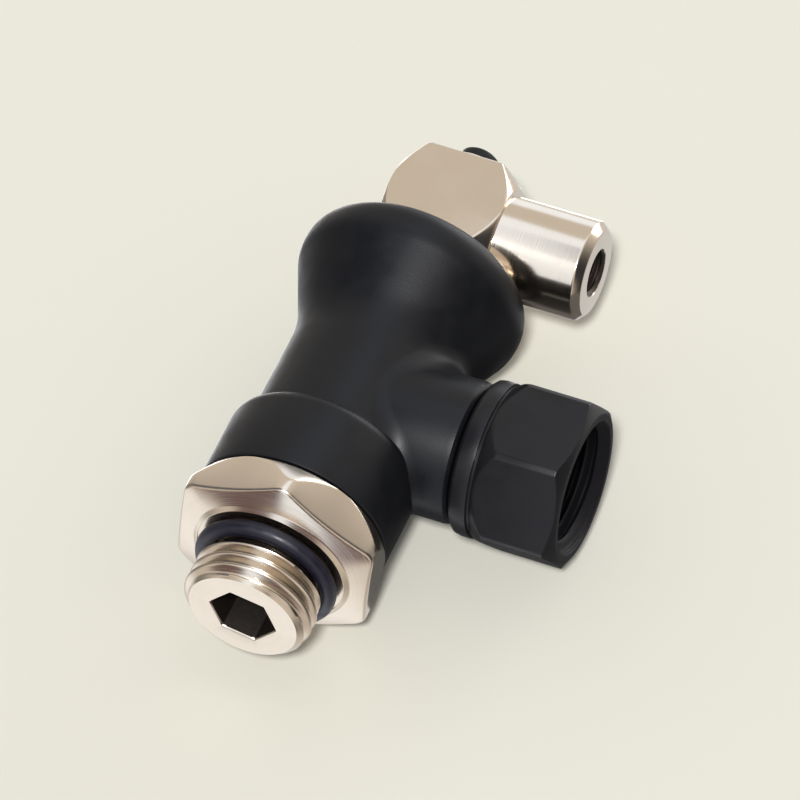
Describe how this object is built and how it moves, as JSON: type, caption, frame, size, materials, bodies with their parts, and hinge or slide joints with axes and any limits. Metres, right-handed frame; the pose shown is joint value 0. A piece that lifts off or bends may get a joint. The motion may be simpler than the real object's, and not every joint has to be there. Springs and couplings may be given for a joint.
{
  "type": "pneumatic blocking valve",
  "caption": "Pilot-operated pneumatic blocking valve: male stud, swivelling black body with a threaded side port, and a swivelling brass pilot head on top.",
  "frame": {"origin": "on the stud's thread axis in the seat plane, the underside of the hexagon", "axes": "+Z along the thread axis from the stud up to the pilot head, +X along the side port and the pilot arm at rest"},
  "size_m": [0.0371, 0.0238, 0.0609],
  "materials": {
    "nickel_plated_brass": "bright nickel plating over turned brass, warm",
    "black_polymer": "black glass-filled nylon, fine moulded grain",
    "nitrile_rubber": "black nitrile rubber, slightly oiled",
    "turned_brass": "turned brass, unplated",
    "spring_steel": "drawn stainless steel",
    "blackened_steel": "blackened spring steel"
  },
  "bodies": {
    "stud": {"male_stud": "nickel_plated_brass", "stud_seal_ring": "nitrile_rubber", "spigot_o_ring": "nitrile_rubber", "poppet_spring": "spring_steel"},
    "poppet": {"check_poppet": "turned_brass", "poppet_seal": "nitrile_rubber"},
    "valve": {"valve_body": "black_polymer", "swivel_clip": "spring_steel", "check_seat": "turned_brass", "rod_guide": "turned_brass", "rod_seal": "nitrile_rubber", "piston_spring": "spring_steel", "port_sleeve": "black_polymer", "port_o_ring": "nitrile_rubber", "pilot_cover": "nickel_plated_brass", "cover_o_ring": "nitrile_rubber", "head_lower_o_ring": "nitrile_rubber", "head_upper_o_ring": "nitrile_rubber", "head_clip": "blackened_steel", "spindle_cap": "black_polymer"},
    "piston": {"pilot_piston": "turned_brass", "piston_seal": "nitrile_rubber", "piston_rod": "spring_steel"},
    "head": {"pilot_head": "nickel_plated_brass"}
  },
  "joints": [
    {"name": "body_swivel", "type": "hinge", "parent": "stud", "child": "valve", "pos_m": [0, 0, 0.0055], "axis": [0, 0, 1], "continuous": true},
    {"name": "head_swivel", "type": "hinge", "parent": "valve", "child": "head", "pos_m": [0, 0, 0.039], "axis": [0, 0, 1], "continuous": true},
    {"name": "piston_slide", "type": "slide", "parent": "valve", "child": "piston", "axis": [0, 0, -1], "range_m": [0, 0.0025], "stiffness_N_per_m": 800, "springref_m": -0.002, "deforming": ["piston_spring"]},
    {"name": "poppet_slide", "type": "slide", "parent": "stud", "child": "poppet", "axis": [0, 0, -1], "range_m": [0, 0.0025], "stiffness_N_per_m": 300, "springref_m": -0.002, "deforming": ["poppet_spring"]}
  ],
  "couplings": [
    {"joint": "poppet_slide", "follows": "piston_slide", "ratio": 1}
  ]
}
